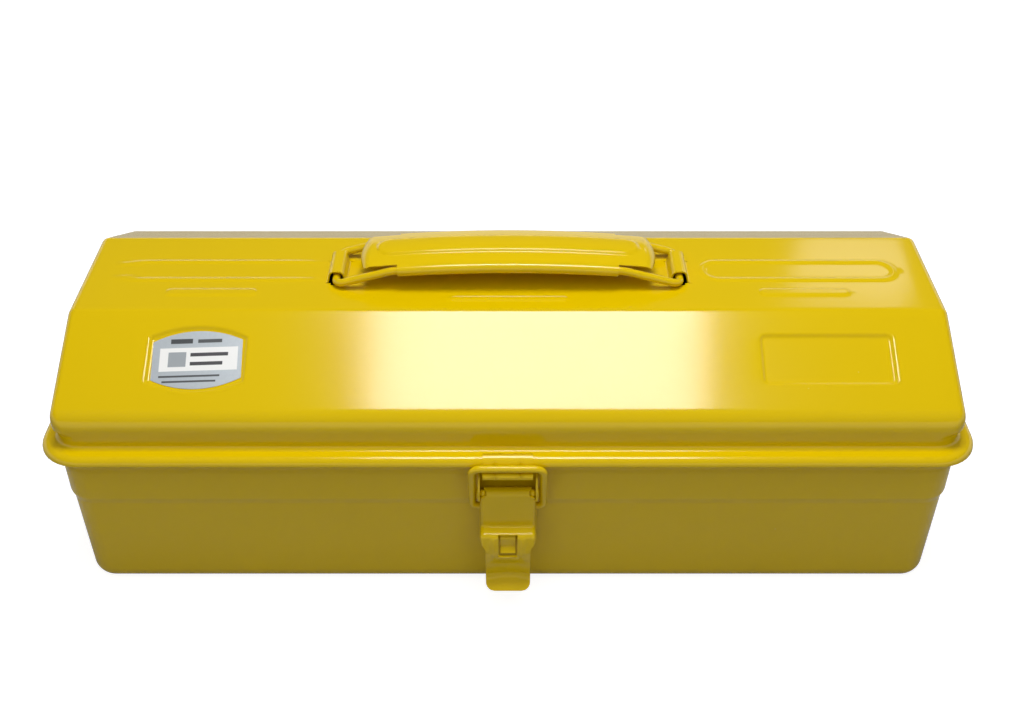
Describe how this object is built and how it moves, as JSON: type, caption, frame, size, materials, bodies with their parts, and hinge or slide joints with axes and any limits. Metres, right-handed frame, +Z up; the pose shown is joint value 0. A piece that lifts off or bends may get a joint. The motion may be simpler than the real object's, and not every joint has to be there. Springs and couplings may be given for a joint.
{
  "type": "toolbox with tray",
  "caption": "Pressed-steel toolbox with a camber-top lid on rear hinges, a lift-out tray, an over-centre lever latch and a low wire handle with a folded sheet grip.",
  "frame": {"origin": "centre of the flat base, on the surface the box stands on", "axes": "+X along the box to the right, -Y to the front with the latch, +Z up"},
  "size_m": [0.359, 0.1633, 0.124],
  "materials": {
    "enamel": "glossy baked enamel",
    "tray_enamel": "glossy baked enamel",
    "handle_enamel": "glossy baked enamel",
    "hardware_enamel": "glossy baked enamel",
    "label_film": "silver-grey printed film, blank"
  },
  "bodies": {
    "box": {"body_shell": "enamel", "latch_base": "hardware_enamel", "latch_pivot_pin": "hardware_enamel", "hinge_body_leaf_left": "hardware_enamel", "hinge_pin_left": "hardware_enamel", "hinge_body_leaf_right": "hardware_enamel", "hinge_pin_right": "hardware_enamel"},
    "tray": {"tray_pan": "tray_enamel"},
    "lid": {"lid_shell": "enamel", "label_plate": "label_film", "latch_catch": "hardware_enamel", "hinge_lid_leaf_left": "hardware_enamel", "hinge_lid_leaf_right": "hardware_enamel"},
    "handle": {"handle_wire": "handle_enamel", "handle_grip": "handle_enamel"},
    "lever": {"latch_lever": "hardware_enamel"},
    "bail": {"latch_bail": "hardware_enamel"}
  },
  "joints": [
    {"name": "lid_hinge", "type": "hinge", "parent": "box", "child": "lid", "pos_m": [0, 0.0776, 0.0705], "axis": [-1, 0, 0], "range_deg": [0, 105]},
    {"name": "tray_lift", "type": "slide", "parent": "box", "child": "tray", "axis": [0, 0, 1], "range_m": [0, 0.024]},
    {"name": "handle_lift", "type": "slide", "parent": "lid", "child": "handle", "axis": [0, 0, 1], "range_m": [0, 0.001]},
    {"name": "latch_lever_pivot", "type": "hinge", "parent": "box", "child": "lever", "pos_m": [0, -0.0748, 0.057], "axis": [-1, 0, 0], "range_deg": [0, 105]},
    {"name": "latch_bail_pivot", "type": "hinge", "parent": "lever", "child": "bail", "pos_m": [0, -0.0726, 0.0485], "axis": [-1, 0, 0], "range_deg": [-126, 0]}
  ],
  "couplings": [
    {"joint": "latch_bail_pivot", "follows": "latch_lever_pivot", "ratio": -1.2}
  ]
}
